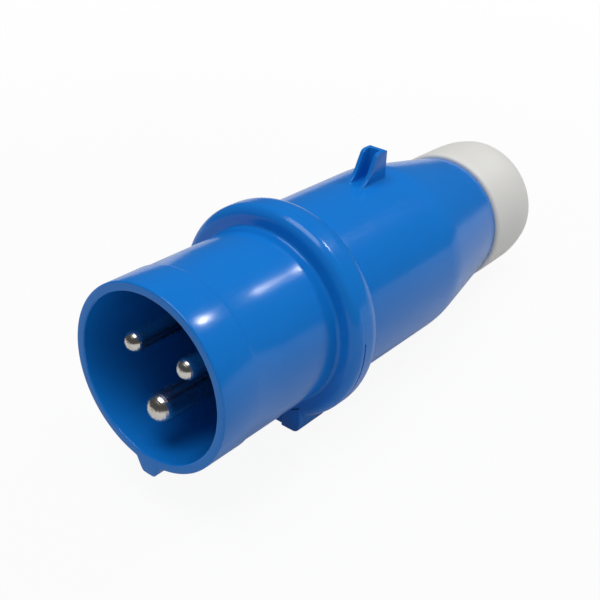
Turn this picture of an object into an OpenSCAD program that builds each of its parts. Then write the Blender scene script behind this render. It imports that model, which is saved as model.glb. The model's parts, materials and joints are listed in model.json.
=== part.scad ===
// Straight industrial pin and sleeve plug, 16 A, two poles and earth.
// +X runs along the plug's axis from the open mouth to the cable end, and the mouth's
// rim lies in the plane X = 0. +Z points to the lid hook, at twelve o'clock, so the
// earth pin, the keyway nib and the housing lock are at six o'clock, on -Z.

/* [Shroud] */
// Outer diameter of the raised band at the mouth
band_d = 43.5; // [42.6:0.1:44.4]
// Length of the raised band
band_len = 10.7; // [6:0.1:16]
// Outer diameter of the shroud behind the band
shroud_d = 43.0; // [42.2:0.1:43.4]
// Bore of the shroud
shroud_bore_d = 39.1; // [38.6:0.1:39.8]
// Depth of the contact carrier's face behind the rim
mouth_depth = 37; // [34:0.5:37]
// Radius of the rim's rounded edges
rim_round = 0.4; // [0.3:0.1:0.8]

/* [Keyway nib] */
// Height of the nib above the raised band
nib_h = 3.0; // [2:0.1:3.2]
// Width of the nib at its base
nib_base_w = 7.0; // [5:0.1:8]
// Width of the nib at its crest
nib_crest_w = 3.0; // [2:0.1:4]

/* [Flange] */
// Place of the flange's front face behind the rim
flange_x = 37.3; // [37:0.1:39]
// Length of the flange along the axis
flange_len = 10.2; // [9.5:0.1:12]
// Largest diameter of the flange's barrel
flange_d = 53.3; // [52:0.1:56]
// Radius of the flange's rounded front edge
flange_front_round = 2.6; // [1.5:0.1:3]
// Radius of the flange's rounded rear shoulder
flange_rear_round = 6; // [5:0.5:8]
// Width of the seam groove round the lower half
seam_w = 0.45; // [0.3:0.05:0.8]
// Depth of the seam groove
seam_depth = 0.5; // [0.3:0.05:0.7]

/* [Contact pins] */
// Diameter of the circle that the pins stand on
pin_circle_d = 17.8; // [17:0.1:18.4]
// Diameter of the line and neutral pins
pole_pin_d = 5; // [4.8:0.1:5.4]
// Diameter of the earth pin
earth_pin_d = 7; // [6.6:0.1:7.4]
// Distance of the line and neutral pins' tips behind the rim
pole_tip_x = 1.8; // [1:0.1:5]
// Distance of the earth pin's tip behind the rim
earth_tip_x = 1.1; // [0.5:0.1:5]
// Length of a pin's terminal barrel behind its collar
terminal_len = 12; // [10:0.5:14]
// Diameter of the wire hole in a terminal
wire_hole_d = 3.5; // [2.5:0.1:4]
// Diameter of a terminal's clamping screw
terminal_screw_d = 3.4; // [3:0.1:3.8]

/* [Handle] */
// Outer diameter of the handle's cylindrical part
handle_d = 46.3; // [45.6:0.1:47]
// Length of the handle's cylindrical part behind the flange
handle_straight = 38.8; // [34:0.1:44]
// Length of the handle's cone
handle_cone = 28.8; // [26:0.1:34]
// Diameter of the handle at its rear edge
handle_end_d = 35.6; // [34.6:0.1:36.6]
// Wall of the handle
handle_wall = 2.3; // [1.8:0.1:2.6]
// Diameter of the spigot that enters the flange
spigot_d = 44.6; // [44.2:0.1:45]

/* [Lid hook] */
// Distance of the hook's foot behind the flange
hook_x = 21.9; // [10:0.1:28]
// Length of the hook along the axis
hook_len = 9.6; // [8:0.1:12]
// Width of the hook
hook_w = 5.0; // [4:0.1:7]
// Height of the hook's top above the axis
hook_top = 30.8; // [29:0.1:33]
// Thickness of the hook's cheeks
hook_cheek = 1.0; // [0.8:0.1:1.4]
// Thickness of the hook's back wall
hook_back = 1.6; // [1.2:0.1:2.4]

/* [Housing lock] */
// Width of the flat foot under the flange
foot_w = 25; // [22:0.5:28]
// Distance of the foot's underside below the axis
foot_bottom = 27.9; // [27.7:0.1:29]
// Width of the lock slide between the foot's rails
slide_w = 14; // [12:0.5:15]
// Travel of the lock slide towards the mouth
slide_travel = 2.2; // [1.5:0.1:2.4]

/* [Cable gland] */
// Outer diameter of the gland nut
nut_d = 37.4; // [36.8:0.1:38]
// Length of the gland nut
nut_len = 20.6; // [18:0.1:22]
// Diameter of the cable hole in the nut
cable_hole_d = 18; // [15:0.5:19]
// Mean diameter of the gland thread
thread_d = 31; // [30:0.1:31.4]
// Bore of the relaxed rubber seal
seal_bore_d = 14; // [11:0.5:15]
// Taper of the nut's radius towards its rear edge
nut_taper = 0.7; // [0.2:0.1:1]
// Number of fingers on the cable clamp
finger_count = 8; // [6:1:10]

/* [Hidden] */
$fn = 96;

// Clearances between pieces
fit_gap = 0.05;       // round fits that locate one piece in another
seat_gap = 0.1;       // faces that stop against each other
slide_gap = 0.15;     // sliding faces
part_gap = 0.3;       // faces of moving pieces that pass each other
over = 1;             // how far a cutter runs past the face that it opens

// Radii and places of the front housing
band_r = band_d / 2;
shroud_r = shroud_d / 2;
bore_r = shroud_bore_d / 2;
flange_r = flange_d / 2;
flange_end = flange_x + flange_len;
shoulder_len = 0.8 * flange_rear_round;   // axial length of the rear shoulder
shoulder_r = flange_r - flange_rear_round * (1 - sqrt(1 - 0.8 * 0.8));
root_fillet = 0.8;
ledge_x = mouth_depth + 1;
disc_len = 3.1;
disc_end = ledge_x + disc_len;
disc_r = bore_r + 1.1;
seam_x = flange_x + 0.3 * flange_len;

// Radii and places of the handle
handle_r = handle_d / 2;
handle_inner_r = handle_r - handle_wall;
handle_x = flange_end + seat_gap;
cone_x = handle_x + handle_straight;
handle_end = cone_x + handle_cone;
handle_end_r = handle_end_d / 2;
spigot_r = spigot_d / 2;
spigot_wall = 1.9;
seal_len = 1.2;
spigot_x = disc_end + seal_len + seat_gap;

// Bayonet between the handle's spigot and the front housing
bayonet_count = 3;
bayonet_h = 0.8;
bayonet_len = 2;
bayonet_angle = 14;
bayonet_turn = 24;
bayonet_x = spigot_x + 0.8;

// Contact pins
pin_circle_r = pin_circle_d / 2;
pole_r = pole_pin_d / 2;
earth_r = earth_pin_d / 2;
pole_angle = 60;      // of the line and neutral pins, either side of twelve o'clock
seat_h = 0.2;         // how far a pin is wider where it enters the carrier
seat_x = mouth_depth - 0.4;
collar_h = 1;
collar_len = 2;
collar_x = mouth_depth + 7;
block_x = collar_x + collar_len;
terminal_end = block_x + terminal_len;
barrel_h = 0.7;       // how far a terminal barrel is wider than its pin
hub_r = pin_circle_r + 7.6;
screw_r = terminal_screw_d / 2;
screw_len = 5;
screw_x = block_x + 0.55 * terminal_len;
slot_w = 0.7;
slot_depth = 1;

// Key between the carrier's disc and the front housing
key_w = 3;
key_h = 1.0;

// Lock slide and foot
foot_corner = 2;
foot_edge = 0.8;
rail_depth = 1.2;
channel_top = band_r + nib_h + slide_gap;
groove_top = channel_top + 0.8;
groove_h = 1.1;
groove_x = flange_x + 2;
slide_top = channel_top + slide_gap;
slide_bottom = foot_bottom - 0.3;
slide_x = flange_x + 0.3;
slide_end = flange_end - 0.2;
ear_x = groove_x + slide_travel + seat_gap;
tongue_w = 6;
tongue_h = 1.6;
tongue_reach = 2;
keeper_w = 11;
keeper_len = 3.6;
keeper_bottom = foot_bottom - 0.4;

// Cable gland
nut_r = nut_d / 2;
thread_r = thread_d / 2;
neck_bore_r = thread_r - 3;
neck_len = 11.7;
neck_end = handle_end + neck_len;
seal_seat = handle_end - 1.3;
seal_depth = 8;
seat_len = 2;
nut_x = handle_end + part_gap;
nut_end = nut_x + nut_len;
nut_wall = 1.8;
nut_round = 1.5;
washer_len = 1;
washer_end = nut_end - nut_wall - seat_gap;
washer_x = washer_end - washer_len;
chamber_r = thread_r - 0.8;
clamp_x = seal_seat + seal_depth + seat_gap;
clamp_ring = 3;
finger_end = washer_x - part_gap;
finger_wall = 2.2;

blue = [0.05, 0.40, 0.78];
grey_white = [0.86, 0.85, 0.82];
black = [0.11, 0.11, 0.12];
nickel = [0.78, 0.76, 0.72];
steel = [0.62, 0.63, 0.65];
rubber = [0.16, 0.16, 0.17];
natural = [0.90, 0.88, 0.80];

// Points of an arc round c, from angle a0 to a1, in n steps
function arc(c, r, a0, a1, n = 6) =
    [for (i = [0:n]) c + r * [cos(a0 + (a1 - a0) * i / n), sin(a0 + (a1 - a0) * i / n)]];

// Solid of revolution about X from [radius, x] points
module revolve(points) rotate([0, 90, 0]) rotate_extrude() polygon(points);

// Cylinder along X
module xcyl(r, x0, x1) translate([x0, 0, 0]) rotate([0, 90, 0]) cylinder(r = r, h = x1 - x0);

// Cone along X
module xcone(r0, r1, x0, x1) translate([x0, 0, 0]) rotate([0, 90, 0]) cylinder(r1 = r0, r2 = r1, h = x1 - x0);

// Ring along X
module xring(r_in, r_out, x0, x1) difference() {
    xcyl(r_out, x0, x1);
    xcyl(r_in, x0 - over, x1 + over);
}

// Part of a ring along X, centred on the angle mid from +Z towards +Y
module xsector(r_in, r_out, x0, x1, mid, span)
    rotate([-mid, 0, 0]) rotate([0, 90, 0]) rotate([0, 0, 180 - span / 2])
        rotate_extrude(angle = span) translate([r_in, x0]) square([r_out - r_in, x1 - x0]);

// A prism along X from an outline of [y, z] points
module xprism(x0, x1, points)
    translate([x0, 0, 0]) rotate([90, 0, 90]) linear_extrude(x1 - x0) polygon(points);

// Places its children on the pin circle, at an angle from +Z towards +Y
module on_pin_circle(angle) rotate([-angle, 0, 0]) translate([0, 0, pin_circle_r]) children();

// Outer form of the front housing, as a solid of revolution
module housing_form() revolve(concat(
    [[0, 0]],
    arc([band_r - rim_round, rim_round], rim_round, -90, 0, 4),
    [[band_r, band_len], [shroud_r, band_len + 0.3]],
    arc([shroud_r + root_fillet, flange_x - root_fillet], root_fillet, 180, 90, 4),
    arc([flange_r - flange_front_round, flange_x + flange_front_round], flange_front_round, -90, 0, 8),
    arc([flange_r - flange_rear_round, flange_end - shoulder_len], flange_rear_round, 0, asin(0.8), 8),
    [[0, flange_end]]));

// Rounded keyway nib, running from the rim to the flange
module nib() xprism(0, flange_x + over, concat(
    [[nib_base_w / 2, -(band_r - 1.2)]],
    arc([nib_crest_w / 2 - 0.9, -(band_r + nib_h - 0.9)], 0.9, 20, -90, 4),
    arc([-nib_crest_w / 2 + 0.9, -(band_r + nib_h - 0.9)], 0.9, -90, -200, 4),
    [[-nib_base_w / 2, -(band_r - 1.2)]]));

// Side outline of a block under the flange, as [x, z] points, with rounded lower edges
function block_outline(x0, x1, top, bottom, r) = concat(
    [[x0, -top]], arc([x0 + r, -(bottom - r)], r, 180, 270, 4), arc([x1 - r, -(bottom - r)], r, 270, 360, 4),
    [[x1, -top]]);

// Prism across the plug, along Y, from an outline of [x, z] points
module yprism(w, points) rotate([90, 0, 0]) linear_extrude(w, center = true) polygon(points);

// Flat foot under the flange, which carries the lock slide and stops the plug from rolling
module foot() difference() {
    intersection() {
        xprism(flange_x, flange_end, concat(
            [[foot_w / 2, -(spigot_r - 2)]],
            arc([foot_w / 2 - foot_corner, -(foot_bottom - foot_corner)], foot_corner, 0, -90, 5),
            arc([-foot_w / 2 + foot_corner, -(foot_bottom - foot_corner)], foot_corner, -90, -180, 5),
            [[-foot_w / 2, -(spigot_r - 2)]]));
        yprism(foot_w + 2, block_outline(flange_x, flange_end, 0, foot_bottom, foot_edge));
    }
    xcyl(shoulder_r - 0.7, flange_x - over, flange_end + over);
}

// Space that the lock slide runs in
module foot_channel() {
    translate([flange_x - over, -slide_w / 2, -(foot_bottom + over)])
        cube([flange_len + 2 * over, slide_w, foot_bottom + over - channel_top]);
    translate([groove_x, -slide_w / 2 - rail_depth, -(groove_top + groove_h)])
        cube([flange_end - groove_x + over, slide_w + 2 * rail_depth, groove_h]);
}

// Entry and turning slots for the bayonet lugs, cut into the collar
module bayonet_slots() for (i = [0:bayonet_count - 1]) {
    mid = 360 / bayonet_count * i + 60;
    r_out = spigot_r + bayonet_h + part_gap;
    xsector(bore_r, r_out, bayonet_x - part_gap, bayonet_x + bayonet_len + part_gap,
        mid + bayonet_turn / 2, bayonet_angle + bayonet_turn + 4);
    xsector(bore_r + 1, r_out + 0.1, bayonet_x + bayonet_len / 2, flange_end + over,
        mid + bayonet_turn - 1, bayonet_angle + 4);
}

// Groove round the flange's lower half, where the lock's band parts from the flange
module seam_groove() xsector(flange_r - seam_depth, flange_r + over, seam_x, seam_x + seam_w, 180, 188);

module shroud_housing() color(blue) {
    difference() {
        union() {
            difference() {
                housing_form();
                seam_groove();
            }
            nib();
            foot();
        }
        // mouth, with its rounded inner edge
        xcyl(bore_r, -over, ledge_x + over);
        xcone(bore_r + rim_round, bore_r, -0.01, rim_round);
        // seat of the contact carrier's disc and socket of the handle's spigot
        xcyl(disc_r + seat_gap, ledge_x, disc_end + over);
        xcyl(spigot_r + fit_gap, disc_end, flange_end + over);
        bayonet_slots();
        foot_channel();
    }
    // key that sets the carrier's hour position
    intersection() {
        translate([ledge_x, -key_w / 2, disc_r - key_h]) cube([disc_len, key_w, 3]);
        xcyl(disc_r + 2 * seat_gap, ledge_x, disc_end);
    }
}

// Side outline of the lid hook's cheeks, as [x, z] points
function hook_outline() = let (x0 = handle_x + hook_x, x1 = x0 + hook_len, rise = hook_top - handle_r)
    concat(
        [[x0 - 0.6, handle_r - 1.2], [x0, handle_r], [x0 + 0.18 * hook_len, handle_r + 0.25 * rise],
         [x0 + 0.36 * hook_len, handle_r + 0.52 * rise], [x0 + 0.48 * hook_len, handle_r + 0.78 * rise]],
        arc([x0 + 0.66 * hook_len, hook_top - 1.1], 1.1, 165, 90, 4),
        arc([x1 - 0.5, hook_top - 0.5], 0.5, 90, 0, 3),
        [[x1 + 0.3, handle_r - 1.2]]);

// Hook that a socket's sprung lid catches on, open to the front
module lid_hook() difference() {
    rotate([90, 0, 0]) linear_extrude(hook_w, center = true) polygon(hook_outline());
    translate([handle_x + hook_x - over, -hook_w / 2 + hook_cheek, handle_r - 0.2])
        cube([hook_len - hook_back + over - 1, hook_w - 2 * hook_cheek, hook_top]);
    // rounded inner corners at the back wall
    for (side = [-1, 1])
        translate([handle_x + hook_x + hook_len - hook_back - 1, side * (hook_w / 2 - hook_cheek - 1), handle_r - 0.2])
            cylinder(r = 1, h = hook_top, $fn = 32);
    translate([handle_x + hook_x + hook_len - hook_back - 2, -hook_w / 2 + hook_cheek + 1, handle_r - 0.2])
        cube([2, hook_w - 2 * hook_cheek - 2, hook_top]);
}

// Block behind the foot that the lock slide's tongue enters
module keeper()
    yprism(keeper_w, block_outline(handle_x, handle_x + keeper_len, handle_r - 1.5, keeper_bottom, 0.6));

// Pocket in the keeper and the handle for the lock slide's tongue
module tongue_pocket()
    translate([handle_x - over, -tongue_w / 2 - part_gap, -(slide_top + tongue_h + part_gap)])
        cube([tongue_reach + over + part_gap, tongue_w + 2 * part_gap, tongue_h + 2 * part_gap]);

module handle() color(blue) {
    difference() {
        union() {
            revolve(concat(
                [[0, spigot_x], [spigot_r, spigot_x], [spigot_r, handle_x]],
                arc([handle_r - 0.4, handle_x + 0.4], 0.4, -90, 0, 3),
                [[handle_r, cone_x - 1.5], [handle_r - 0.15, cone_x]],
                [[handle_end_r + 0.1, handle_end - 0.6], [handle_end_r - 0.4, handle_end],
                 [thread_r, handle_end], [thread_r, neck_end - 0.6], [thread_r - 0.6, neck_end], [0, neck_end]]));
            lid_hook();
            keeper();
            for (i = [0:bayonet_count - 1])
                xsector(spigot_r - 0.5, spigot_r + bayonet_h, bayonet_x, bayonet_x + bayonet_len,
                    360 / bayonet_count * i + 60, bayonet_angle);
        }
        // wiring chamber, which narrows with the cone
        revolve([[0, spigot_x - over], [spigot_r - spigot_wall, spigot_x - over],
            [spigot_r - spigot_wall, handle_x + 2], [handle_inner_r, handle_x + 2 + 1],
            [handle_inner_r, cone_x], [neck_bore_r, seal_seat - seat_len - 1],
            [seal_bore_d / 2 + 1.5, seal_seat - seat_len], [seal_bore_d / 2 + 1.5, seal_seat + over],
            [0, seal_seat + over]]);
        // pocket of the seal and the clamp
        xcyl(neck_bore_r, seal_seat, neck_end + over);
        tongue_pocket();
    }
    // ribs that stiffen the chamber
    for (angle = [45, 135, 225, 315]) rotate([angle, 0, 0])
        translate([handle_x + 4, -0.7, handle_inner_r - 1.2]) cube([handle_straight - 6, 1.4, 1.5]);
}

// A contact pin on +X, with its tip at tip_x and its terminal's wire hole and screw hole
module pin_form(r, tip_x, clamp_r) difference() {
    revolve(concat(
        arc([0, tip_x + r], r, -90, 0, 8),
        [[r, seat_x], [r + seat_h, seat_x], [r + seat_h, collar_x], [r + collar_h, collar_x], [r + collar_h, block_x], [r + barrel_h, block_x],
         [r + barrel_h, terminal_end - 0.4], [r + barrel_h - 0.4, terminal_end], [0, terminal_end]]));
    xcyl(wire_hole_d / 2, block_x + 1.5, terminal_end + over);
    translate([screw_x, 0, 0]) cylinder(r = clamp_r + fit_gap, h = r + barrel_h + over);
}

module line_pin() color(nickel) on_pin_circle(pole_angle) pin_form(pole_r, pole_tip_x, screw_r);

module neutral_pin() color(nickel) on_pin_circle(-pole_angle) pin_form(pole_r, pole_tip_x, screw_r);

module earth_pin() color(nickel) on_pin_circle(180) pin_form(earth_r, earth_tip_x, screw_r);

// Slotted grub screw that clamps the wire, standing in its pin's cross hole
module terminal_screw() translate([screw_x, 0, 0.3]) difference() {
    cylinder(r = screw_r, h = screw_len);
    translate([-screw_r - over, -slot_w / 2, screw_len - slot_depth])
        cube([2 * (screw_r + over), slot_w, slot_depth + over]);
}

module line_terminal_screw() color(steel) on_pin_circle(pole_angle) terminal_screw();

module neutral_terminal_screw() color(steel) on_pin_circle(-pole_angle) terminal_screw();

module earth_terminal_screw() color(steel) on_pin_circle(180) terminal_screw();

module contact_carrier() color(black) difference() {
    union() {
        xcyl(bore_r - seat_gap, mouth_depth, ledge_x + seat_gap);
        xcyl(disc_r, ledge_x + fit_gap, disc_end);
        xcyl(hub_r, ledge_x + fit_gap, block_x);
    }
    for (angle = [-pole_angle, pole_angle, 180]) on_pin_circle(angle) {
        r = angle == 180 ? earth_r : pole_r;
        xcyl(r + seat_h + fit_gap, mouth_depth - over, block_x);
        xcyl(r + collar_h + fit_gap, collar_x - fit_gap, block_x + over);
        // raised land round each pin
        xring(r + 1.6, r + 2.2, mouth_depth - over, mouth_depth + 0.4);
    }
    // blind hole of the block screw
    xcyl(1.5 + fit_gap, mouth_depth + 3, block_x + over);
    // slot for the housing's key
    translate([ledge_x, -key_w / 2 - slide_gap, disc_r - key_h - slide_gap])
        cube([disc_len + over, key_w + 2 * slide_gap, 3]);
}

module terminal_block() color(black) difference() {
    union() {
        xcyl(hub_r, block_x + fit_gap, terminal_end + 1);
        xcyl(hub_r - 2, terminal_end + 1, terminal_end + 2.5);
    }
    for (angle = [-pole_angle, pole_angle, 180]) on_pin_circle(angle) {
        r = (angle == 180 ? earth_r : pole_r) + barrel_h;
        xcyl(r + fit_gap, block_x - over, terminal_end + seat_gap);
        xcone(wire_hole_d / 2 + 0.4, wire_hole_d / 2 + 1.6, terminal_end, terminal_end + 2.6);
        translate([screw_x, 0, 0]) cylinder(r = screw_r + 0.5, h = hub_r);
    }
    xcyl(1.5 + fit_gap, block_x - over, terminal_end + 4);
    xcyl(3.2, terminal_end, terminal_end + 4);
}

module block_screw() color(steel) difference() {
    union() {
        xcyl(1.5, mouth_depth + 3.5, terminal_end + fit_gap);
        xcyl(2.9, terminal_end + fit_gap, terminal_end + 2.3);
    }
    for (turn = [0, 90]) rotate([turn, 0, 0])
        translate([terminal_end + 1, -slot_w / 2, -2]) cube([3, slot_w, 4]);
}

module housing_seal() color(rubber)
    xring(spigot_r - spigot_wall - 0.8, spigot_r - fit_gap, disc_end + fit_gap, spigot_x - fit_gap);

module lock_slide() color(blue) difference() {
    union() {
        yprism(slide_w - 2 * slide_gap, block_outline(slide_x, slide_end, slide_top, slide_bottom, foot_edge - 0.3));
        // ears that hang in the rails' grooves
        translate([ear_x, -slide_w / 2 - rail_depth + slide_gap, -(groove_top + groove_h - slide_gap)])
            cube([slide_end - ear_x, slide_w + 2 * (rail_depth - slide_gap), groove_h - 2 * slide_gap]);
        // tongue that keeps the handle from turning
        translate([slide_end - over, -tongue_w / 2, -(slide_top + tongue_h)])
            cube([handle_x + tongue_reach - slide_end + over, tongue_w, tongue_h]);
    }
    // finger grooves
    for (i = [0:2])
        translate([slide_x + 2.2 + 2 * i, -slide_w / 2 + 1.5, -slide_bottom - over])
            cube([0.9, slide_w - 3, over + 0.5]);
}

module gland_seal() color(rubber) revolve([
    [seal_bore_d / 2, seal_seat + fit_gap], [neck_bore_r - fit_gap, seal_seat + fit_gap],
    [neck_bore_r - fit_gap, seal_seat + seal_depth], [seal_bore_d / 2 + 1.2, seal_seat + seal_depth],
    [seal_bore_d / 2, seal_seat + seal_depth - 2]]);

module cable_clamp() color(natural) difference() {
    revolve([[neck_bore_r - fit_gap - finger_wall, clamp_x], [neck_bore_r - fit_gap, clamp_x],
        [neck_bore_r - fit_gap, neck_end], [neck_bore_r - 1.2, finger_end],
        [neck_bore_r - 0.6 - finger_wall, finger_end]]);
    for (i = [0:finger_count - 1]) rotate([360 / finger_count * i, 0, 0])
        translate([clamp_x + clamp_ring, -0.9, 0]) cube([finger_end - clamp_x, 1.8, neck_bore_r + over]);
}

module slip_washer() color(steel) xring(cable_hole_d / 2 + 0.4, chamber_r - slide_gap, washer_x, washer_end);

module gland_nut() color(grey_white) difference() {
    revolve(concat(
        [[0, nut_x]],
        arc([nut_r - 0.5, nut_x + 0.5], 0.5, -90, 0, 3),
        [[nut_r, nut_x + 3], [nut_r - 0.25 * nut_taper, nut_x + 0.68 * nut_len],
         [nut_r - nut_taper, nut_end - nut_round]],
        arc([nut_r - nut_taper - nut_round, nut_end - nut_round], nut_round, 12, 90, 6),
        [[0, nut_end]]));
    // bore that turns on the handle's neck, chamber for the clamp, and cable hole
    xcyl(thread_r + fit_gap, nut_x - over, neck_end + part_gap);
    xcyl(chamber_r, nut_x, nut_end - nut_wall);
    xcyl(cable_hole_d / 2, nut_x, nut_end + over);
}

shroud_housing();
handle();
contact_carrier();
terminal_block();
line_pin();
neutral_pin();
earth_pin();
line_terminal_screw();
neutral_terminal_screw();
earth_terminal_screw();
block_screw();
housing_seal();
lock_slide();
gland_seal();
cable_clamp();
slip_washer();
gland_nut();
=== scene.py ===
"""Looks of a straight industrial pin and sleeve plug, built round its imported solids.

Every piece lies in the plug's own frame: +X runs from the mouth to the cable end and +Z points to the lid
hook. Sizes are fields in millimetres, and a mesh is turned into metres when it is made.
"""
import json
import logging
import math
from dataclasses import dataclass, field
from enum import Enum
from typing import Any, Callable, Sequence

import bmesh
import bpy
import numpy as np
from mathutils import Matrix, Vector


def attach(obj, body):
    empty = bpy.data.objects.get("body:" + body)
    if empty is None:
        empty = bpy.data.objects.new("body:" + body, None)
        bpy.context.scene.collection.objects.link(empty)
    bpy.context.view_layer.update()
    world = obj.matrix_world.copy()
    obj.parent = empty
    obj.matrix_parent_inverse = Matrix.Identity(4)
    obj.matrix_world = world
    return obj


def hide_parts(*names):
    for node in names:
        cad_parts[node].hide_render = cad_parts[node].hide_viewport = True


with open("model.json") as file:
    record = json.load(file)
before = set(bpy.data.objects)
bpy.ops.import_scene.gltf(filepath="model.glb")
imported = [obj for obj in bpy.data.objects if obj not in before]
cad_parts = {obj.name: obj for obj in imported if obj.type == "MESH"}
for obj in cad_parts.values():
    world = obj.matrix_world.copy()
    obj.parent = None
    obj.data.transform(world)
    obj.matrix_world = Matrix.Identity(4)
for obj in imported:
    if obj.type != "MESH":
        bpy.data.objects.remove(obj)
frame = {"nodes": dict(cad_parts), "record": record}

LOG = logging.getLogger("plug")
MM = 0.001
HOUR_6 = math.pi

Point = tuple[float, float]
Colour = tuple[float, float, float]
Reshape = Callable[[np.ndarray, np.ndarray, np.ndarray], tuple[np.ndarray, np.ndarray]]


class Slot(Enum):
    """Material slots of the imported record."""

    BLUE = "blue_plastic"
    INSERT = "insert_plastic"
    PLATED = "plated_brass"
    SCREW = "screw_steel"
    WASHER = "washer_steel"
    RUBBER = "seal_rubber"
    CLAMP = "clamp_plastic"
    NUT = "nut_plastic"


class Body(Enum):
    """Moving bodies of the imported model."""

    HOUSING = "housing"
    LOCK = "lock_slide"
    WASHER = "nut_washer"
    NUT = "nut"


# --------------------------------------------------------------------------------------------------
# Shader graphs
# --------------------------------------------------------------------------------------------------
class Sock:
    """A shader value that takes part in arithmetic, so that sums on it add Math nodes."""

    def __init__(self, graph: "Graph", socket: bpy.types.NodeSocket) -> None:
        """Wraps one output socket of a graph."""
        self.graph = graph
        self.socket = socket

    def _math(self, operation: str, first: "Sock | float", second: "Sock | float") -> "Sock":
        """Adds one Math node.

        Args:
            operation: Blender's name of the operation.
            first: the left value.
            second: the right value.

        Returns:
            The node's result.
        """
        return self.graph.node("ShaderNodeMath", {"operation": operation}, {0: first, 1: second})

    def __add__(self, other: "Sock | float") -> "Sock":
        """Returns self + other."""
        return self._math("ADD", self, other)

    def __radd__(self, other: float) -> "Sock":
        """Returns other + self."""
        return self._math("ADD", other, self)

    def __sub__(self, other: "Sock | float") -> "Sock":
        """Returns self - other."""
        return self._math("SUBTRACT", self, other)

    def __rsub__(self, other: float) -> "Sock":
        """Returns other - self."""
        return self._math("SUBTRACT", other, self)

    def __mul__(self, other: "Sock | float") -> "Sock":
        """Returns self * other."""
        return self._math("MULTIPLY", self, other)

    def __rmul__(self, other: float) -> "Sock":
        """Returns other * self."""
        return self._math("MULTIPLY", other, self)

    def clamp(self) -> "Sock":
        """Returns the value held between 0 and 1."""
        return self.graph.node("ShaderNodeClamp", {}, {"Value": self})


class Graph:
    """Builds the node tree of one material or of the world."""

    def __init__(self, tree: bpy.types.NodeTree) -> None:
        """Empties the tree and keeps it."""
        self.tree = tree
        self.tree.nodes.clear()

    def make(self, kind: str, settings: dict[str, Any], inputs: dict[int | str, Any]) -> bpy.types.Node:
        """Adds a node, with its settings before its inputs.

        Args:
            kind: Blender's type of the node.
            settings: attributes of the node; "stops" gives a ramp's stops as (place, colour) pairs.
            inputs: values or Sock links by the inputs' names or numbers.

        Returns:
            The node.
        """
        node = self.tree.nodes.new(kind)
        for name, value in settings.items():
            if name == "stops":
                while len(node.color_ramp.elements) < len(value):
                    node.color_ramp.elements.new(1.0)
                for element, (place, colour) in zip(node.color_ramp.elements, value):
                    element.position = place
                    element.color = (*colour, 1.0) if isinstance(colour, tuple) else (colour,) * 3 + (1.0,)
            else:
                setattr(node, name, value)
        for name, value in inputs.items():
            if isinstance(value, Sock):
                self.tree.links.new(value.socket, node.inputs[name])
            else:
                node.inputs[name].default_value = value
        return node

    def node(self, kind: str, settings: dict[str, Any], inputs: dict[int | str, Any],
             output: int | str = 0) -> Sock:
        """Adds a node and returns one of its outputs.

        Args:
            kind: Blender's type of the node.
            settings: attributes of the node.
            inputs: values or links of its inputs.
            output: the name or number of the output.

        Returns:
            The output as a Sock.
        """
        return Sock(self, self.make(kind, settings, inputs).outputs[output])

    def place(self) -> Sock:
        """Returns the point's place on the piece, in metres."""
        return self.node("ShaderNodeTexCoord", {}, {}, "Object")

    def noise(self, place: Sock, per_mm: float, detail: float = 2.0, roughness: float = 0.5) -> Sock:
        """Adds a noise of a given fineness.

        Args:
            place: coordinates.
            per_mm: cells in a millimetre.
            detail: octaves.
            roughness: weight of the finer octaves.

        Returns:
            The noise from 0 to 1.
        """
        return self.node("ShaderNodeTexNoise", {},
                         {"Vector": place, "Scale": per_mm / MM, "Detail": detail, "Roughness": roughness})

    def stretched(self, place: Sock, scale: tuple[float, float, float]) -> Sock:
        """Returns the coordinates scaled on each axis."""
        return self.node("ShaderNodeMapping", {}, {"Vector": place, "Scale": scale})

    def ramp(self, value: Sock, low: float, high: float) -> Sock:
        """Returns 0 below low and 1 above high, with a straight slope between."""
        return self.node("ShaderNodeMapRange", {"clamp": True},
                         {"Value": value, "From Min": low, "From Max": high})

    def tint(self, share: Sock, first: Colour, second: Colour) -> Sock:
        """Mixes two colours.

        Args:
            share: how much of the second colour shows.
            first: colour at 0.
            second: colour at 1.

        Returns:
            The mixed colour.
        """
        return self.node("ShaderNodeMix", {"data_type": "RGBA"},
                         {0: share, 6: (*first, 1.0), 7: (*second, 1.0)}, 2)

    def rays(self) -> tuple[Sock, Sock]:
        """Tells the camera's own rays and the mirrored ones from the light's.

        Returns:
            1 for rays from the camera, and 1 for rays that a surface mirrors or lets through.
        """
        path = self.make("ShaderNodeLightPath", {}, {})
        glossy = Sock(self, path.outputs["Is Glossy Ray"])
        through = Sock(self, path.outputs["Is Transmission Ray"])
        return Sock(self, path.outputs["Is Camera Ray"]), (glossy + through).clamp()

    def bump(self, height: Sock, depth_mm: float, strength: float = 1.0) -> Sock:
        """Turns a height into a normal.

        Args:
            height: the height from 0 to 1.
            depth_mm: the relief that 1 stands for.
            strength: share of the effect.

        Returns:
            The bent normal.
        """
        return self.node("ShaderNodeBump", {},
                         {"Height": height, "Distance": depth_mm * MM, "Strength": strength})


@dataclass(frozen=True)
class Finish:
    """What all finishes share: a name and the fixed numbers of the shader."""

    name: str
    specular: float = 0.5

    def build(self) -> bpy.types.Material:
        """Makes the material.

        Returns:
            The material with its nodes.
        """
        material = bpy.data.materials.new(self.name)
        material.use_nodes = True
        graph = Graph(material.node_tree)
        shader = graph.make("ShaderNodeBsdfPrincipled", {}, {
            "Specular IOR Level": self.specular, **self.inputs(graph)})
        graph.make("ShaderNodeOutputMaterial", {}, {"Surface": Sock(graph, shader.outputs[0])})
        return material

    def inputs(self, graph: Graph) -> dict[str, Any]:
        """Returns the shader inputs of this finish."""
        raise NotImplementedError


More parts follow.
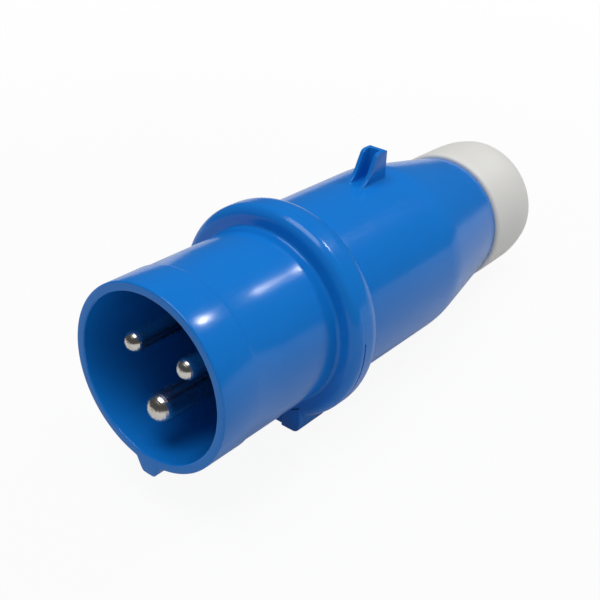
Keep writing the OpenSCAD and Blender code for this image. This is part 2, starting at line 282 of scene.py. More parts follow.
@dataclass(frozen=True)
class MouldedPlastic(Finish):
    """Injection moulded plastic with flow clouding, a wavy skin and fine rubbed marks."""

    colour: Colour = (0.5, 0.5, 0.5)
    clouded: Colour = (0.5, 0.5, 0.5)
    gloss: float = 0.2
    rubbed: float = 0.12
    wave_mm: float = 0.02
    grain_mm: float = 0.001
    grain_per_mm: float = 8.0

    def inputs(self, graph: Graph) -> dict[str, Any]:
        """Returns clouded colour, rubbed gloss and a wavy, fine grained skin."""
        place = graph.place()
        clouds = graph.ramp(graph.noise(place, 0.035, 3.0), 0.35, 0.7)
        rubs = graph.ramp(graph.noise(graph.stretched(place, (0.25, 1.6, 1.6)), 0.9, 4.0, 0.65), 0.52, 0.8)
        grain = graph.noise(place, self.grain_per_mm, 2.0)
        wave = graph.noise(graph.stretched(place, (0.6, 1.0, 1.0)), 0.07, 1.0)
        height = wave * self.wave_mm + grain * self.grain_mm + rubs * (0.3 * self.grain_mm)
        return {"Base Color": graph.tint(clouds, self.colour, self.clouded),
                "Roughness": self.gloss + rubs * self.rubbed + grain * 0.02,
                "Normal": graph.bump(height, 1.0)}


@dataclass(frozen=True)
class TurnedMetal(Finish):
    """Plated or bare metal turned about the plug's axis, with fine lathe rings and handling marks."""

    colour: Colour = (0.7, 0.7, 0.7)
    worn: Colour = (0.6, 0.6, 0.6)
    gloss: float = 0.18
    ring_per_mm: float = 6.0
    ring_mm: float = 0.0012

    def inputs(self, graph: Graph) -> dict[str, Any]:
        """Returns a metal with rings along X and cloudy wear."""
        place = graph.place()
        rings = graph.noise(graph.stretched(place, (1.0, 0.04, 0.04)), self.ring_per_mm, 2.0)
        wear = graph.ramp(graph.noise(place, 0.6, 4.0, 0.6), 0.45, 0.75)
        return {"Base Color": graph.tint(wear, self.colour, self.worn), "Metallic": 1.0,
                "Roughness": self.gloss + wear * 0.10 + rings * 0.06,
                "Normal": graph.bump(rings, self.ring_mm)}


@dataclass(frozen=True)
class Rubber(Finish):
    """Soft black rubber with a dusty bloom and a pitted skin."""

    colour: Colour = (0.018, 0.018, 0.019)
    bloom: Colour = (0.05, 0.05, 0.05)

    def inputs(self, graph: Graph) -> dict[str, Any]:
        """Returns a matt skin with bloom and pits."""
        place = graph.place()
        bloom = graph.ramp(graph.noise(place, 0.4, 4.0), 0.45, 0.8)
        pits = graph.noise(place, 5.0, 3.0)
        return {"Base Color": graph.tint(bloom, self.colour, self.bloom),
                "Roughness": 0.62 + bloom * 0.15, "Normal": graph.bump(pits, 0.01)}


FINISHES: dict[Slot, Finish] = {
    Slot.BLUE: MouldedPlastic("blue_polyamide", colour=(0.006, 0.190, 0.660), clouded=(0.007, 0.206, 0.700),
                              gloss=0.16, rubbed=0.10, wave_mm=0.030, grain_mm=0.0008, specular=0.32),
    Slot.INSERT: MouldedPlastic("insert_polyamide", colour=(0.010, 0.016, 0.030),
                                clouded=(0.013, 0.020, 0.036), gloss=0.40, rubbed=0.10, grain_mm=0.004),
    Slot.PLATED: TurnedMetal("nickel_plated_brass", colour=(0.74, 0.71, 0.66), worn=(0.66, 0.62, 0.56)),
    Slot.SCREW: TurnedMetal("zinc_plated_screw", colour=(0.58, 0.59, 0.60),
                            worn=(0.46, 0.46, 0.45), gloss=0.3),
    Slot.WASHER: TurnedMetal("stamped_washer", colour=(0.60, 0.60, 0.60),
                             worn=(0.48, 0.48, 0.47), gloss=0.28),
    Slot.RUBBER: Rubber("seal_rubber"),
    Slot.CLAMP: MouldedPlastic("natural_polyamide", colour=(0.66, 0.61, 0.48), clouded=(0.60, 0.55, 0.42),
                               gloss=0.38, rubbed=0.10, grain_mm=0.003),
    Slot.NUT: MouldedPlastic("light_grey_polyamide", colour=(0.80, 0.795, 0.77), clouded=(0.76, 0.755, 0.73),
                             gloss=0.46, rubbed=0.10, wave_mm=0.012, grain_mm=0.003, grain_per_mm=5.0),
}


class Wardrobe:
    """Keeps one built material for each slot."""

    def __init__(self) -> None:
        """Builds every finish once."""
        self.materials = {slot: finish.build() for slot, finish in FINISHES.items()}

    def dress(self, piece: bpy.types.Object, slot: Slot) -> None:
        """Gives a piece its material.

        Args:
            piece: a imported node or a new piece.
            slot: the slot whose finish it takes.
        """
        piece.data.materials.clear()
        piece.data.materials.append(self.materials[slot])


# --------------------------------------------------------------------------------------------------
# Meshes
# --------------------------------------------------------------------------------------------------
def arc(x: float, r: float, radius: float, start: float, end: float, steps: int = 8) -> list[Point]:
    """Makes the points of an arc.

    Args:
        x: place of the centre along the axis.
        r: distance of the centre from the axis.
        radius: radius of the arc.
        start: first angle in degrees, from +x towards +r.
        end: last angle in degrees.
        steps: number of chords.

    Returns:
        Points as (x, r).
    """
    angles = np.radians(np.linspace(start, end, steps + 1))
    return [(x + radius * math.cos(a), r + radius * math.sin(a)) for a in angles]


def blended(first: np.ndarray, second: np.ndarray, width: float) -> np.ndarray:
    """Returns the larger of two values, with a rounded valley of the given width where they meet."""
    return 0.5 * (first + second + np.sqrt((first - second) ** 2 + width ** 2))


def eased(value: np.ndarray, low: float, high: float) -> np.ndarray:
    """Returns a smooth step from 0 at low to 1 at high."""
    t = np.clip((value - low) / (high - low), 0.0, 1.0)
    return t * t * (3 - 2 * t)


def round_angles(count: int, fine_at: Sequence[float] = (), reach: float = 0.0,
                 step: float = 0.006) -> np.ndarray:
    """Makes the angles of a lathe's columns.

    Args:
        count: evenly spaced columns.
        fine_at: angles in radians that get closer columns.
        reach: half the width of each close stretch, in radians.
        step: spacing in the close stretches.

    Returns:
        Sorted angles from 0 up to a full turn.
    """
    angles = list(np.arange(count) * 2 * math.pi / count)
    for middle in fine_at:
        angles = [a for a in angles if abs((a - middle + math.pi) % (2 * math.pi) - math.pi) > reach]
        angles += list((middle + np.arange(-reach, reach + step / 2, step)) % (2 * math.pi))
    return np.array(sorted(angles))


def from_grid(name: str, grid: np.ndarray) -> bpy.types.Object:
    """Joins a grid of points, closed both ways, into a smooth piece.

    Args:
        name: the piece's name.
        grid: points in millimetres, as [column, row, xyz].

    Returns:
        The piece.
    """
    columns, rows, _ = grid.shape
    index = np.arange(columns * rows).reshape(columns, rows)
    right, up = np.roll(index, -1, 0), np.roll(index, -1, 1)
    faces = np.stack([index, right, np.roll(right, -1, 1), up], -1).reshape(-1, 4)
    mesh = bpy.data.meshes.new(name)
    mesh.from_pydata((grid.reshape(-1, 3) * MM).tolist(), [], faces.tolist())
    return finished(name, mesh)


def finished(name: str, mesh: bpy.types.Mesh, sharp: float = 38.0) -> bpy.types.Object:
    """Welds a mesh, turns its faces outwards and shades it smooth.

    Args:
        name: the piece's name.
        mesh: the mesh in metres.
        sharp: edges bent more than this many degrees stay crisp.

    Returns:
        The piece, linked to the scene.
    """
    work = bmesh.new()
    work.from_mesh(mesh)
    bmesh.ops.remove_doubles(work, verts=work.verts, dist=2e-6)
    bmesh.ops.dissolve_degenerate(work, edges=work.edges, dist=1e-6)
    bmesh.ops.recalc_face_normals(work, faces=work.faces)
    work.to_mesh(mesh)
    work.free()
    mesh.polygons.foreach_set("use_smooth", [True] * len(mesh.polygons))
    mesh.set_sharp_from_angle(angle=math.radians(sharp))
    piece = bpy.data.objects.new(name, mesh)
    bpy.context.scene.collection.objects.link(piece)
    return piece


def lathe(name: str, loop: Sequence[Point], angles: np.ndarray,
          reshape: Reshape | None = None) -> bpy.types.Object:
    """Turns a closed outline about the plug's axis.

    Args:
        name: the piece's name.
        loop: (x, r) points in millimetres, joined in a ring.
        angles: the columns' angles, from +Z towards +Y.
        reshape: moves the points, from (x, r, angle) arrays to new (x, r).

    Returns:
        The piece.
    """
    x = np.tile(np.array([p[0] for p in loop], float), (len(angles), 1))
    r = np.tile(np.array([p[1] for p in loop], float), (len(angles), 1))
    turn = np.tile(angles[:, None], (1, len(loop)))
    if reshape:
        x, r = reshape(x, r, turn)
    return from_grid(name, np.stack([x, r * np.sin(turn), r * np.cos(turn)], -1))


def prism(name: str, outline: Sequence[Point], low: float, high: float, along: str) -> bpy.types.Object:
    """Makes a straight block from an outline.

    Args:
        name: the piece's name.
        outline: points in millimetres, as (y, z) for a block along X, (x, z) along Y or (x, y) along Z.
        low: first end.
        high: last end.
        along: "X", "Y" or "Z".

    Returns:
        The piece, with flat faces.
    """
    order = {"X": lambda p, s: (s, p[0], p[1]), "Y": lambda p, s: (p[0], s, p[1]),
             "Z": lambda p, s: (p[0], p[1], s)}
    count = len(outline)
    verts = [Vector(order[along](p, s)) * MM for s in (low, high) for p in outline]
    faces = [list(range(count)), list(range(2 * count - 1, count - 1, -1))]
    faces += [[i, i + count, (i + 1) % count + count, (i + 1) % count] for i in range(count)]
    mesh = bpy.data.meshes.new(name)
    mesh.from_pydata(verts, [], faces)
    return finished(name, mesh)


def carved(piece: bpy.types.Object, cutters: Sequence[bpy.types.Object], edge: float,
           limit: float = 50.0) -> bpy.types.Object:
    """Cuts blocks out of a block and rounds its edges.

    Args:
        piece: the block.
        cutters: blocks to take away, which are removed.
        edge: width of the rounding in millimetres.
        limit: only edges bent more than this many degrees are rounded.

    Returns:
        The same piece, with its modifiers applied.
    """
    for cutter in cutters:
        cut = piece.modifiers.new("cut", "BOOLEAN")
        cut.operation, cut.solver, cut.object = "DIFFERENCE", "EXACT", cutter
    bevel = piece.modifiers.new("edge", "BEVEL")
    bevel.width, bevel.segments, bevel.limit_method = edge * MM, 3, "ANGLE"
    bevel.angle_limit, bevel.harden_normals = math.radians(limit), False
    bpy.context.view_layer.update()
    done = bpy.data.meshes.new_from_object(piece.evaluated_get(bpy.context.evaluated_depsgraph_get()))
    name = piece.name
    for old in (piece, *cutters):
        bpy.data.objects.remove(old)
    return finished(name, done, 30.0)


@dataclass
class Assembly:
    """A group of pieces that shares a body and a slot."""

    wardrobe: Wardrobe
    body: Body = Body.HOUSING
    slot: Slot = Slot.BLUE
    pieces: list[bpy.types.Object] = field(default_factory=list)

    def add(self, piece: bpy.types.Object, node: str) -> bpy.types.Object:
        """Takes a piece into the assembly.

        Args:
            piece: the new piece.
            node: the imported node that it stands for.

        Returns:
            The piece.
        """
        self.wardrobe.dress(piece, self.slot)
        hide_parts(node)
        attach(piece, self.body.value)
        self.pieces.append(piece)
        LOG.info("%s: %d faces, stands for %s on %s",
                 piece.name, len(piece.data.polygons), node, self.body.value)
        return piece


@dataclass
class FrontHousing(Assembly):
    """The shroud, its band, keyway nib, flange and foot rails."""

    band_r: float = 21.75
    band_len: float = 10.7
    shroud_r: float = 21.5
    bore_r: float = 19.55
    rim_round: float = 0.4
    band_station: float = 3.0
    wall_stations: tuple[float, ...] = (20.0, 30.0)
    bore_stations: tuple[float, ...] = (25.0, 12.0, 4.0)
    outer_skin: float = 1.25
    nib_h: float = 3.0
    nib_base: float = 7.0
    nib_crest: float = 3.0
    nib_soft: float = 0.22
    nib_lift: float = 0.06
    nib_valley: float = 0.35
    nib_reach: float = 0.35
    nib_limit: float = 2.5
    flange_x: float = 37.3
    flange_len: float = 10.2
    flange_r: float = 26.65
    front_round: float = 2.6
    rear_round: float = 6.0
    shoulder: float = 4.8
    edge: float = 0.35
    root: float = 0.8
    ledge_x: float = 38.0
    disc_end: float = 41.1
    disc_r: float = 20.75
    socket_r: float = 22.35
    seam_w: float = 0.45
    seam_depth: float = 0.5
    seam_ends: tuple[float, float] = (-0.075, -0.06)
    columns: int = 300
    fine_reach: float = 0.34
    fine_step: float = 0.0075
    foot_half: float = 12.5
    foot_bottom: float = 27.9
    foot_corner: float = 2.0
    channel_half: float = 7.0
    channel_top: float = 24.9
    rail_tops: tuple[float, float] = (-22.9, -19.8)
    rail_edge: float = 0.35
    groove_x: float = 39.3
    groove_in: float = 5.0
    groove_out: float = 8.2
    groove_z: tuple[float, float] = (-26.8, -25.7)
    groove_edge: float = 0.05
    key_half: float = 1.5
    key_r: tuple[float, float] = (19.75, 20.9)
    key_edge: float = 0.15

    @property
    def end(self) -> float:
        """Rear face of the flange."""
        return self.flange_x + self.flange_len

    @property
    def seam_x(self) -> float:
        """Front edge of the seam groove."""
        return self.flange_x + 0.3 * self.flange_len

    def loop(self) -> list[Point]:
        """Returns the closed outline of the housing's wall, from the mouth's inner edge round the outside."""
        lip, seam, top = self.rim_round, self.seam_x, self.flange_r
        turn = math.acos((self.shoulder - self.edge) / (self.rear_round - self.edge))
        edge_r = top - self.rear_round + (self.rear_round - self.edge) * math.sin(turn)
        return [
            *arc(lip, self.bore_r + lip, lip, -90, -180, 6),
            *arc(lip, self.band_r - lip, lip, 180, 90, 6),
            (self.band_station, self.band_r), (self.band_len - 0.25, self.band_r),
            (self.band_len - 0.1, self.band_r - 0.03), (self.band_len + 0.15, self.shroud_r + 0.05),
            (self.band_len + 0.35, self.shroud_r), *[(x, self.shroud_r) for x in self.wall_stations],
            *arc(self.flange_x - self.root, self.shroud_r + self.root, self.root, -90, 0, 7),
            (self.flange_x, 23.2),
            *arc(self.flange_x + self.front_round, top - self.front_round, self.front_round, 180, 90, 14),
            (seam - 0.05, top), (seam, top), (seam + 0.01, top - 0.02),
            (seam + self.seam_w - 0.01, top - 0.02), (seam + self.seam_w, top),
            (seam + self.seam_w + 0.05, top),
            *arc(self.end - self.shoulder, top - self.rear_round, self.rear_round, 90,
                 math.degrees(turn) + 3, 12),
            *arc(self.end - self.edge, edge_r, self.edge, math.degrees(turn), 0, 5),
            (self.end, self.socket_r + 0.3), (self.end - 0.3, self.socket_r),
            (self.disc_end, self.socket_r), (self.disc_end, self.disc_r), (self.ledge_x, self.disc_r),
            (self.ledge_x, self.bore_r), *[(x, self.bore_r) for x in self.bore_stations]]

    def nib_height(self, across: np.ndarray) -> np.ndarray:
        """Returns the nib's height over the band at a sideways distance, with softened corners."""
        pitch, spread, deepest = 0.01, 9.0, -6.0
        fine = np.linspace(-spread, spread, round(2 * spread / pitch) + 1)
        slope = (self.nib_base - self.nib_crest) / 2 / self.nib_h
        raw = np.minimum((self.nib_base / 2 - np.abs(fine)) / slope, self.nib_h)
        kernel = np.exp(-0.5 * (np.arange(-60, 61) * pitch / self.nib_soft) ** 2)
        soft = np.convolve(raw, kernel / kernel.sum(), "same")
        return np.interp(across, fine, np.maximum(soft + self.nib_lift, deepest))

    def reshape(self, x: np.ndarray, r: np.ndarray, turn: np.ndarray) -> tuple[np.ndarray, np.ndarray]:
        """Adds the nib, cuts the seam groove and flattens the flange over the lock's channel."""
        tiny = 0.005
        outer = r > self.bore_r + self.outer_skin
        outer &= ~((x > self.ledge_x - 0.1) & (r < self.socket_r + 0.31))
        off = turn - HOUR_6
        near = np.abs(off) < self.nib_reach
        nib_r = self.band_r + self.nib_height(self.band_r * off)
        lift = blended(nib_r, np.full_like(r, self.band_r), self.nib_valley) - self.band_r
        on_band = x < self.band_len - 0.2
        with_nib = np.where(on_band, r + lift, blended(nib_r, r, self.nib_valley))
        rise = np.where(near & outer & (nib_r > self.band_r - self.nib_limit), with_nib, r)
        r = np.where(outer & near & (x < self.end - 1), np.maximum(r, rise), r)
        # seam groove round the lower half
        lower = eased(-np.cos(turn), *self.seam_ends)
        groove = (x > self.seam_x + tiny) & (x < self.seam_x + self.seam_w - tiny) & (r > self.socket_r + 1)
        r = np.where(groove, r - self.seam_depth * lower, r)
        # flat over the lock's channel
        flat = self.channel_top / np.maximum(np.cos(off), 0.2)
        across = np.abs(r * np.sin(off))
        over_channel = (across < self.channel_half + 0.25) & (np.cos(off) > 0) & (x > self.flange_x - 0.01)
        return x, np.where(over_channel, np.minimum(r, flat), r)

    def rail_outline(self, side: int) -> list[Point]:
        """Returns one rail's (y, z) outline."""
        corner = [(self.foot_half - self.foot_corner + self.foot_corner * math.cos(a),
                   -self.foot_bottom + self.foot_corner + self.foot_corner * math.sin(a))
                  for a in np.radians(np.linspace(-90, 0, 9))]
        points = [(self.channel_half, self.rail_tops[0]), (self.channel_half, -self.foot_bottom), *corner,
                  (self.foot_half, self.rail_tops[1])]
        return [(side * y, z) for y, z in points]

    def build(self) -> None:
        """Makes the housing's shell, its two rails and the carrier's key."""
        angles = round_angles(self.columns, (HOUR_6,), self.fine_reach, self.fine_step)
        self.add(lathe("housing_shell", self.loop(), angles, self.reshape), "shroud_housing")
        for side, name in ((1, "left"), (-1, "right")):
            rail = prism(f"foot_rail_{name}", self.rail_outline(side), self.flange_x, self.end, "X")
            low, high = self.groove_z
            inside, outside = side * self.groove_in, side * self.groove_out
            slot = prism("rail_groove", [(inside, low), (outside, low), (outside, high), (inside, high)],
                         self.groove_x, self.end + 1, "X")
            rail = carved(carved(rail, [], self.rail_edge), [slot], self.groove_edge)
            self.add(rail, "shroud_housing")
        half, (low, high) = self.key_half, self.key_r
        key = prism("carrier_key", [(-half, low), (half, low), (half, high), (-half, high)],
                    self.ledge_x, self.disc_end, "X")
        self.add(carved(key, [], self.key_edge), "shroud_housing")


@dataclass
class Handle(Assembly):
    """The grip with its cone, threaded neck, lid hook and the block behind the foot."""

    front_x: float = 47.6
    grip_r: float = 23.15
    cone_x: float = 86.4
    end_x: float = 115.2
    end_r: float = 17.8
    wall: float = 2.3
    spigot_x: float = 42.4
    spigot_r: float = 22.3
    spigot_wall: float = 1.9
    thread_r: float = 15.5
    thread_pitch: float = 2.5
    thread_depth: float = 0.9
    neck_end: float = 126.9
    neck_bore: float = 12.5
    seat_x: float = 113.9
    seal_way: float = 8.5
    hook_x: float = 69.5
    hook_len: float = 9.6
    hook_w: float = 5.0
    hook_top: float = 30.8
    hook_cheek: float = 1.0
    hook_back: float = 1.6
    hook_nose: float = 1.8
    hook_fillet: float = 0.55
    hook_edge: float = 0.40
    hook_inner: float = 1.0
    columns: int = 300
    fine_reach: float = 0.16
    fine_step: float = 0.009
    front_edge: float = 0.45
    grip_stations: tuple[float, ...] = (49.5, 56.0, 62.0, 66.5)
    fine_zone: tuple[float, float] = (68.0, 81.0)
    cone_shares: tuple[float, ...] = (0.2, 0.35, 0.5, 0.65, 0.8, 0.93)
    bend_half: float = 3.0
    keeper_w: float = 11.0
    keeper_len: float = 3.6
    keeper_top: float = 21.6
    keeper_bottom: float = 27.5
    keeper_edge: float = 0.45
    pocket_half: float = 3.3
    pocket_len: float = 2.3
    pocket_z: tuple[float, float] = (-26.95, -24.75)

    def loop(self) -> list[Point]:
        """Returns the closed outline of the handle's wall, from the spigot round the outside."""
        edge, (start, stop) = self.front_edge, self.fine_zone
        grip = [(x, self.grip_r) for x in self.grip_stations]
        grip += [(x, self.grip_r) for x in np.arange(start, stop + 0.01, 0.2)]
        slope, half = (self.grip_r - self.end_r) / (self.end_x - self.cone_x), self.bend_half
        bend = [(self.cone_x + d, self.grip_r - slope * (d + half) ** 2 / (4 * half))
                for d in np.arange(-half, half + 0.01, 0.5)]
        cone = [(self.cone_x + f * (self.end_x - self.cone_x), self.grip_r + f * (self.end_r - self.grip_r))
                for f in self.cone_shares]
        neck = [(x, self.thread_r) for x in np.arange(self.end_x + 0.4, self.neck_end - 0.7, 0.21)]
        return [
            (self.spigot_x, self.spigot_r - self.spigot_wall), (self.spigot_x, self.spigot_r - 0.3),
            (self.spigot_x + 0.3, self.spigot_r), (self.front_x, self.spigot_r),
            (self.front_x, self.grip_r - edge),
            *arc(self.front_x + edge, self.grip_r - edge, edge, 170, 90, 5),
            *grip, *bend, *cone,
            *arc(self.end_x - 0.55, self.end_r - 0.45, 0.55, 80, 0, 6),
            (self.end_x, self.thread_r + 0.5), (self.end_x, self.thread_r + 0.01), *neck,
            (self.neck_end - 0.6, self.thread_r - 0.1), (self.neck_end, self.thread_r - 0.7),
            (self.neck_end, self.neck_bore), (self.seat_x, self.neck_bore), (self.seat_x, self.seal_way),
            (self.seat_x - 2, self.seal_way), (self.seat_x - 3, self.neck_bore),
            (self.cone_x, self.grip_r - self.wall),
            (self.front_x + 3, self.grip_r - self.wall), (self.front_x + 2, self.spigot_r - self.spigot_wall)]

    def hook_rise(self, x: np.ndarray, across: np.ndarray) -> np.ndarray:
        """Returns the height of the fillet round the hook's walls over the grip."""
        x0, x1 = self.hook_x, self.hook_x + self.hook_len + 0.1
        half, inner = self.hook_w / 2, self.hook_w / 2 - self.hook_cheek

        def outside(lo_x: float, hi_x: float, reach: float) -> np.ndarray:
            """Returns the signed distance to an upright rectangle."""
            dx = np.maximum(lo_x - x, x - hi_x)
            dy = np.abs(across) - reach
            return np.hypot(np.maximum(dx, 0), np.maximum(dy, 0)) + np.minimum(np.maximum(dx, dy), 0)

        walls = np.maximum(outside(x0, x1, half), -outside(x0 - 5, x1 - self.hook_back, inner))
        size = self.hook_fillet
        near = np.clip(size - walls, 0.0, size)
        rise = size - np.sqrt(np.maximum(size ** 2 - near ** 2, 0.0))
        return np.minimum(rise, size) * eased(x, x0 - 0.4, x0 + 1.2)

    def reshape(self, x: np.ndarray, r: np.ndarray, turn: np.ndarray) -> tuple[np.ndarray, np.ndarray]:
        """Adds the hook's fillet and winds the thread on the neck."""
        off = (turn + math.pi) % (2 * math.pi) - math.pi
        start, stop = self.fine_zone
        grip = (x > start - 0.1) & (x < stop + 0.1) & (r > self.grip_r - 0.01)
        r = np.where(grip, r + self.hook_rise(x, self.grip_r * off), r)
        neck = (x > self.end_x + 0.3) & (x < self.neck_end - 0.65) & (np.abs(r - self.thread_r) < 0.02)
        phase = (x / self.thread_pitch - turn / (2 * math.pi)) % 1.0
        tooth = np.clip(np.abs(phase - 0.5) * 4 - 0.5, 0.0, 1.0)
        ends = eased(x, self.end_x + 0.4, self.end_x + 1.4)
        return x, np.where(neck, r - self.thread_depth * (1 - tooth) * ends, r)

    def hook_outline(self) -> list[Point]:
        """Returns the side outline of the hook's cheeks, as (x, z) points."""
        x0, x1 = self.hook_x, self.hook_x + self.hook_len
        rise = self.hook_top - self.grip_r
        front = [(0.0, 0.0), (0.12, 0.08), (0.22, 0.18), (0.31, 0.32), (0.38, 0.47), (0.43, 0.61),
                 (0.475, 0.73)]
        points = [(x0 - 0.6, self.grip_r - 1.2)]
        points += [(x0 + u * self.hook_len, self.grip_r + v * rise) for u, v in front]
        points += arc(x0 + 0.7 * self.hook_len, self.hook_top - self.hook_nose, self.hook_nose, 165, 90, 7)
        points += arc(x1 - 0.5, self.hook_top - 0.5, 0.5, 90, 0, 4)
        return points + [(x1 + 0.3, self.grip_r - 1.2)]

    def build(self) -> None:
        """Makes the grip, the hook and the block behind the foot."""
        angles = round_angles(self.columns, (0.0,), self.fine_reach, self.fine_step)
        self.add(lathe("grip", self.loop(), angles, self.reshape), "handle")
        hook = prism("lid_hook", self.hook_outline(), -self.hook_w / 2, self.hook_w / 2, "Y")
        back = self.hook_x + self.hook_len - self.hook_back
        inner = self.hook_w / 2 - self.hook_cheek
        turn = self.hook_inner
        corners = [(back - turn + turn * math.cos(a), side * (inner - turn) + side * turn * abs(math.sin(a)))
                   for side, sweep in ((-1, (-90, 0)), (1, (0, 90)))
                   for a in np.radians(np.linspace(*sweep, 6))]
        groove = prism("hook_groove", [(self.hook_x - 2, -inner), *corners, (self.hook_x - 2, inner)],
                       self.grip_r - 0.05, self.hook_top + 2, "Z")
        self.add(carved(hook, [groove], self.hook_edge), "handle")
        half, high, low = self.keeper_w / 2, -self.keeper_top, -self.keeper_bottom
        keeper = prism("lock_keeper", [(-half, high), (half, high), (half, low), (-half, low)],
                       self.front_x, self.front_x + self.keeper_len, "X")
        half, (low, high) = self.pocket_half, self.pocket_z
        pocket = prism("keeper_pocket", [(-half, low), (half, low), (half, high), (-half, high)],
                       self.front_x - 1, self.front_x + self.pocket_len, "X")
        self.add(carved(keeper, [pocket], self.keeper_edge), "handle")


@dataclass
class GlandNut(Assembly):
    """The smooth gland nut at the cable end."""

    body: Body = Body.NUT
    slot: Slot = Slot.NUT
    front_x: float = 115.5
    length: float = 20.6
    outer_r: float = 18.7
    front_edge: float = 0.9
    rear_edge: float = 1.3
    thread_r: float = 15.55
    neck_x: float = 127.2
    chamber_r: float = 14.7
    wall: float = 1.8
    hole_r: float = 9.0
    hole_edge: float = 0.4
    crown: tuple[Point, ...] = ((8.0, 0.1), (6.1, 0.14), (4.6, 0.27), (3.1, 0.49), (2.0, 0.73))
    rear_drop: float = 2.2
    columns: int = 240

    @property
    def end(self) -> float:
        """Rear face of the nut."""
        return self.front_x + self.length

    def loop(self) -> list[Point]:
        """Returns the closed outline of the nut's wall."""
        front, top, end, edge, lip = self.front_x, self.outer_r, self.end, self.rear_edge, self.hole_edge
        return [
            (front, self.thread_r + 0.3), (front, top - self.front_edge - 0.2),
            *arc(front + self.front_edge, top - self.front_edge, self.front_edge, 180, 92, 6),
            (front + 2.5, top), (front + 8.5, top - 0.05),
            *[(end - back, top - drop) for back, drop in self.crown],
            *arc(end - edge, top - self.rear_drop, edge, 66, 0, 9),
            (end, self.hole_r + 2.5), (end, self.hole_r + lip),
            *arc(end - lip, self.hole_r + lip, lip, 0, -90, 4),
            (end - self.wall + 0.2, self.hole_r), (end - self.wall, self.hole_r + 0.2),
            (end - self.wall, self.chamber_r), (self.neck_x, self.chamber_r), (self.neck_x, self.thread_r),
            (front + 0.3, self.thread_r)]

    def build(self) -> None:
        """Makes the nut."""
        self.add(lathe("nut_shell", self.loop(), round_angles(self.columns)), "gland_nut")


@dataclass
class CarriedNodes:
    """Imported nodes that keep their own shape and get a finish."""

    wardrobe: Wardrobe

    def build(self) -> None:
        """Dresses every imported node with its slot's finish."""
        slots = {part["node"]: Slot(part["material_slot"]) for part in frame["record"]["subparts"]}
        for name, node in frame["nodes"].items():
            self.wardrobe.dress(node, slots[name])
            LOG.info("%s: packed shape in %s", name, slots[name].value)


# --------------------------------------------------------------------------------------------------
# Studio
# --------------------------------------------------------------------------------------------------
@dataclass
class Softbox:
    """An area lamp that looks at the plug."""

    name: str
    towards: tuple[float, float, float]
    distance: float
    size: tuple[float, float]
    power: float
    aim: tuple[float, float, float] = (0.05, 0.0, 0.0)
    mirrored: bool = True

    def build(self) -> None:
        """Makes the lamp."""
        lamp = bpy.data.lights.new(self.name, "AREA")
        lamp.shape, lamp.size, lamp.size_y, lamp.energy = "RECTANGLE", *self.size, self.power
        place = bpy.data.objects.new(self.name, lamp)
        bpy.context.scene.collection.objects.link(place)
        away = Vector(self.towards).normalized()
        place.location = Vector(self.aim) + away * self.distance
        place.rotation_euler = away.to_track_quat("Z", "Y").to_euler()
        place.visible_glossy = self.mirrored


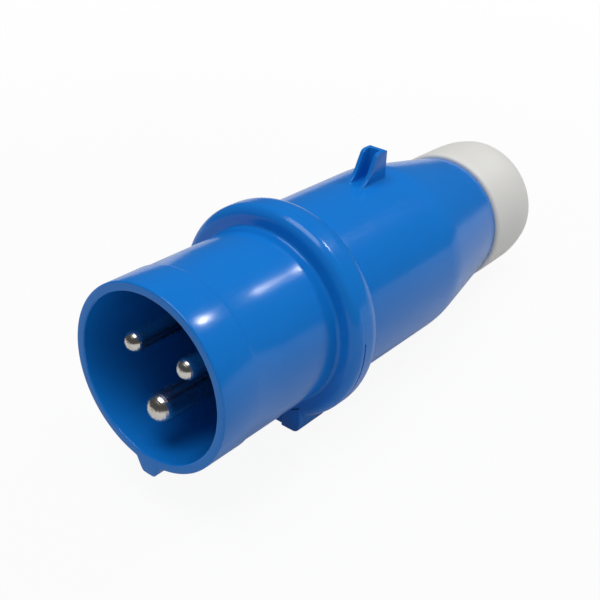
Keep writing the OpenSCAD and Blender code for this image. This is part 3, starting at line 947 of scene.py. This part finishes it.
@dataclass
class Studio:
    """Floor, lamps, surroundings and camera."""

    foot: tuple[float, float] = (0.0471, -0.0281)
    slope: float = 0.1130
    floor_reach: float = 0.45
    floor_shade: float = 0.70
    shadow_reach: float = 0.15
    seen_glow: float = 0.93
    mirrored_glow: float = 0.18
    air: float = 0.24
    air_mirrored: float = 0.07
    camera_place: tuple[float, float, float] = (-0.119194, -0.126831, 0.117003)
    camera_forward: tuple[float, float, float] = (0.70027, 0.52206, -0.4869)
    camera_up: tuple[float, float, float] = (0.34732, 0.34673, 0.87129)
    lens: float = 60.0
    lamps: tuple[Softbox, ...] = (
        Softbox("key_box", (0.635, -0.25, 0.73), 0.9, (0.08, 0.08), 1.6, (0.004, -0.012, 0.018)),
        Softbox("top_box", (-0.22, 0.02, 1.0), 1.2, (0.8, 0.8), 9.4),
        Softbox("side_box", (-0.35, -1.0, 0.45), 1.3, (0.7, 0.7), 0.3, mirrored=False))

    def floor(self) -> None:
        """Makes the floor, a wide sheet that the foot and the nut both stand on."""
        span, x0, z0 = self.floor_reach, *self.foot
        square = ((-span, -span), (span, -span), (span, span), (-span, span))
        corners = [(x0 + x, y, z0 + self.slope * x) for x, y in square]
        mesh = bpy.data.meshes.new("floor")
        mesh.from_pydata(corners, [], [(0, 1, 2, 3)])
        sheet = bpy.data.objects.new("floor", mesh)
        bpy.context.scene.collection.objects.link(sheet)
        material = bpy.data.materials.new("white_floor")
        material.use_nodes = True
        graph = Graph(material.node_tree)
        matt = graph.node("ShaderNodeBsdfDiffuse", {}, {"Color": (self.floor_shade,) * 3 + (1.0,)})
        glow = graph.node("ShaderNodeEmission", {}, {"Color": (1.0, 1.0, 1.0, 1.0), "Strength": 1.0})
        seen, mirrored = graph.rays()
        away = graph.node("ShaderNodeVectorMath", {"operation": "LENGTH"}, {0: graph.place()}, 1)
        glow_seen = self.seen_glow + graph.ramp(away, self.shadow_reach, 0.9 * span) * (1.0 - self.seen_glow)
        shown = seen * glow_seen + mirrored * self.mirrored_glow
        surface = graph.node("ShaderNodeMixShader", {}, {0: shown, 1: matt, 2: glow})
        graph.make("ShaderNodeOutputMaterial", {}, {"Surface": surface})
        mesh.materials.append(material)

    def surroundings(self) -> None:
        """Makes the even light of the room, which looks white behind the plug."""
        world = bpy.data.worlds.new("studio_air")
        bpy.context.scene.world = world
        world.use_nodes = True
        graph = Graph(world.node_tree)
        seen, mirrored = graph.rays()
        strength = self.air + seen * (1.0 - self.air) + mirrored * (self.air_mirrored - self.air)
        back = graph.node("ShaderNodeBackground", {}, {"Color": (1.0, 1.0, 1.0, 1.0), "Strength": strength})
        graph.make("ShaderNodeOutputWorld", {}, {"Surface": back})

    def camera(self) -> None:
        """Makes the camera at the viewing angle."""
        lens = bpy.data.cameras.new("view")
        lens.lens, lens.sensor_width = self.lens, 36.0
        lens.clip_start, lens.clip_end = 0.01, 20.0
        camera = bpy.data.objects.new("view", lens)
        bpy.context.scene.collection.objects.link(camera)
        forward = Vector(self.camera_forward).normalized()
        right = forward.cross(Vector(self.camera_up)).normalized()
        up = right.cross(forward)
        turned = Matrix((right, up, -forward)).transposed().to_4x4()
        camera.matrix_world = Matrix.Translation(self.camera_place) @ turned
        bpy.context.scene.camera = camera

    def build(self) -> None:
        """Makes the whole studio."""
        self.floor()
        self.surroundings()
        for lamp in self.lamps:
            lamp.build()
        self.camera()
        bpy.context.scene.view_settings.view_transform = "Standard"
        LOG.info("studio: %d lamps", len(self.lamps))


def main() -> None:
    """Builds the studio and every piece."""
    logging.basicConfig(level=logging.INFO, format="%(name)s: %(message)s")
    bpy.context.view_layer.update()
    Studio().build()
    wardrobe = Wardrobe()
    CarriedNodes(wardrobe).build()
    for assembly in (FrontHousing(wardrobe), Handle(wardrobe), GlandNut(wardrobe)):
        assembly.build()


if __name__ == "__main__":
    main()
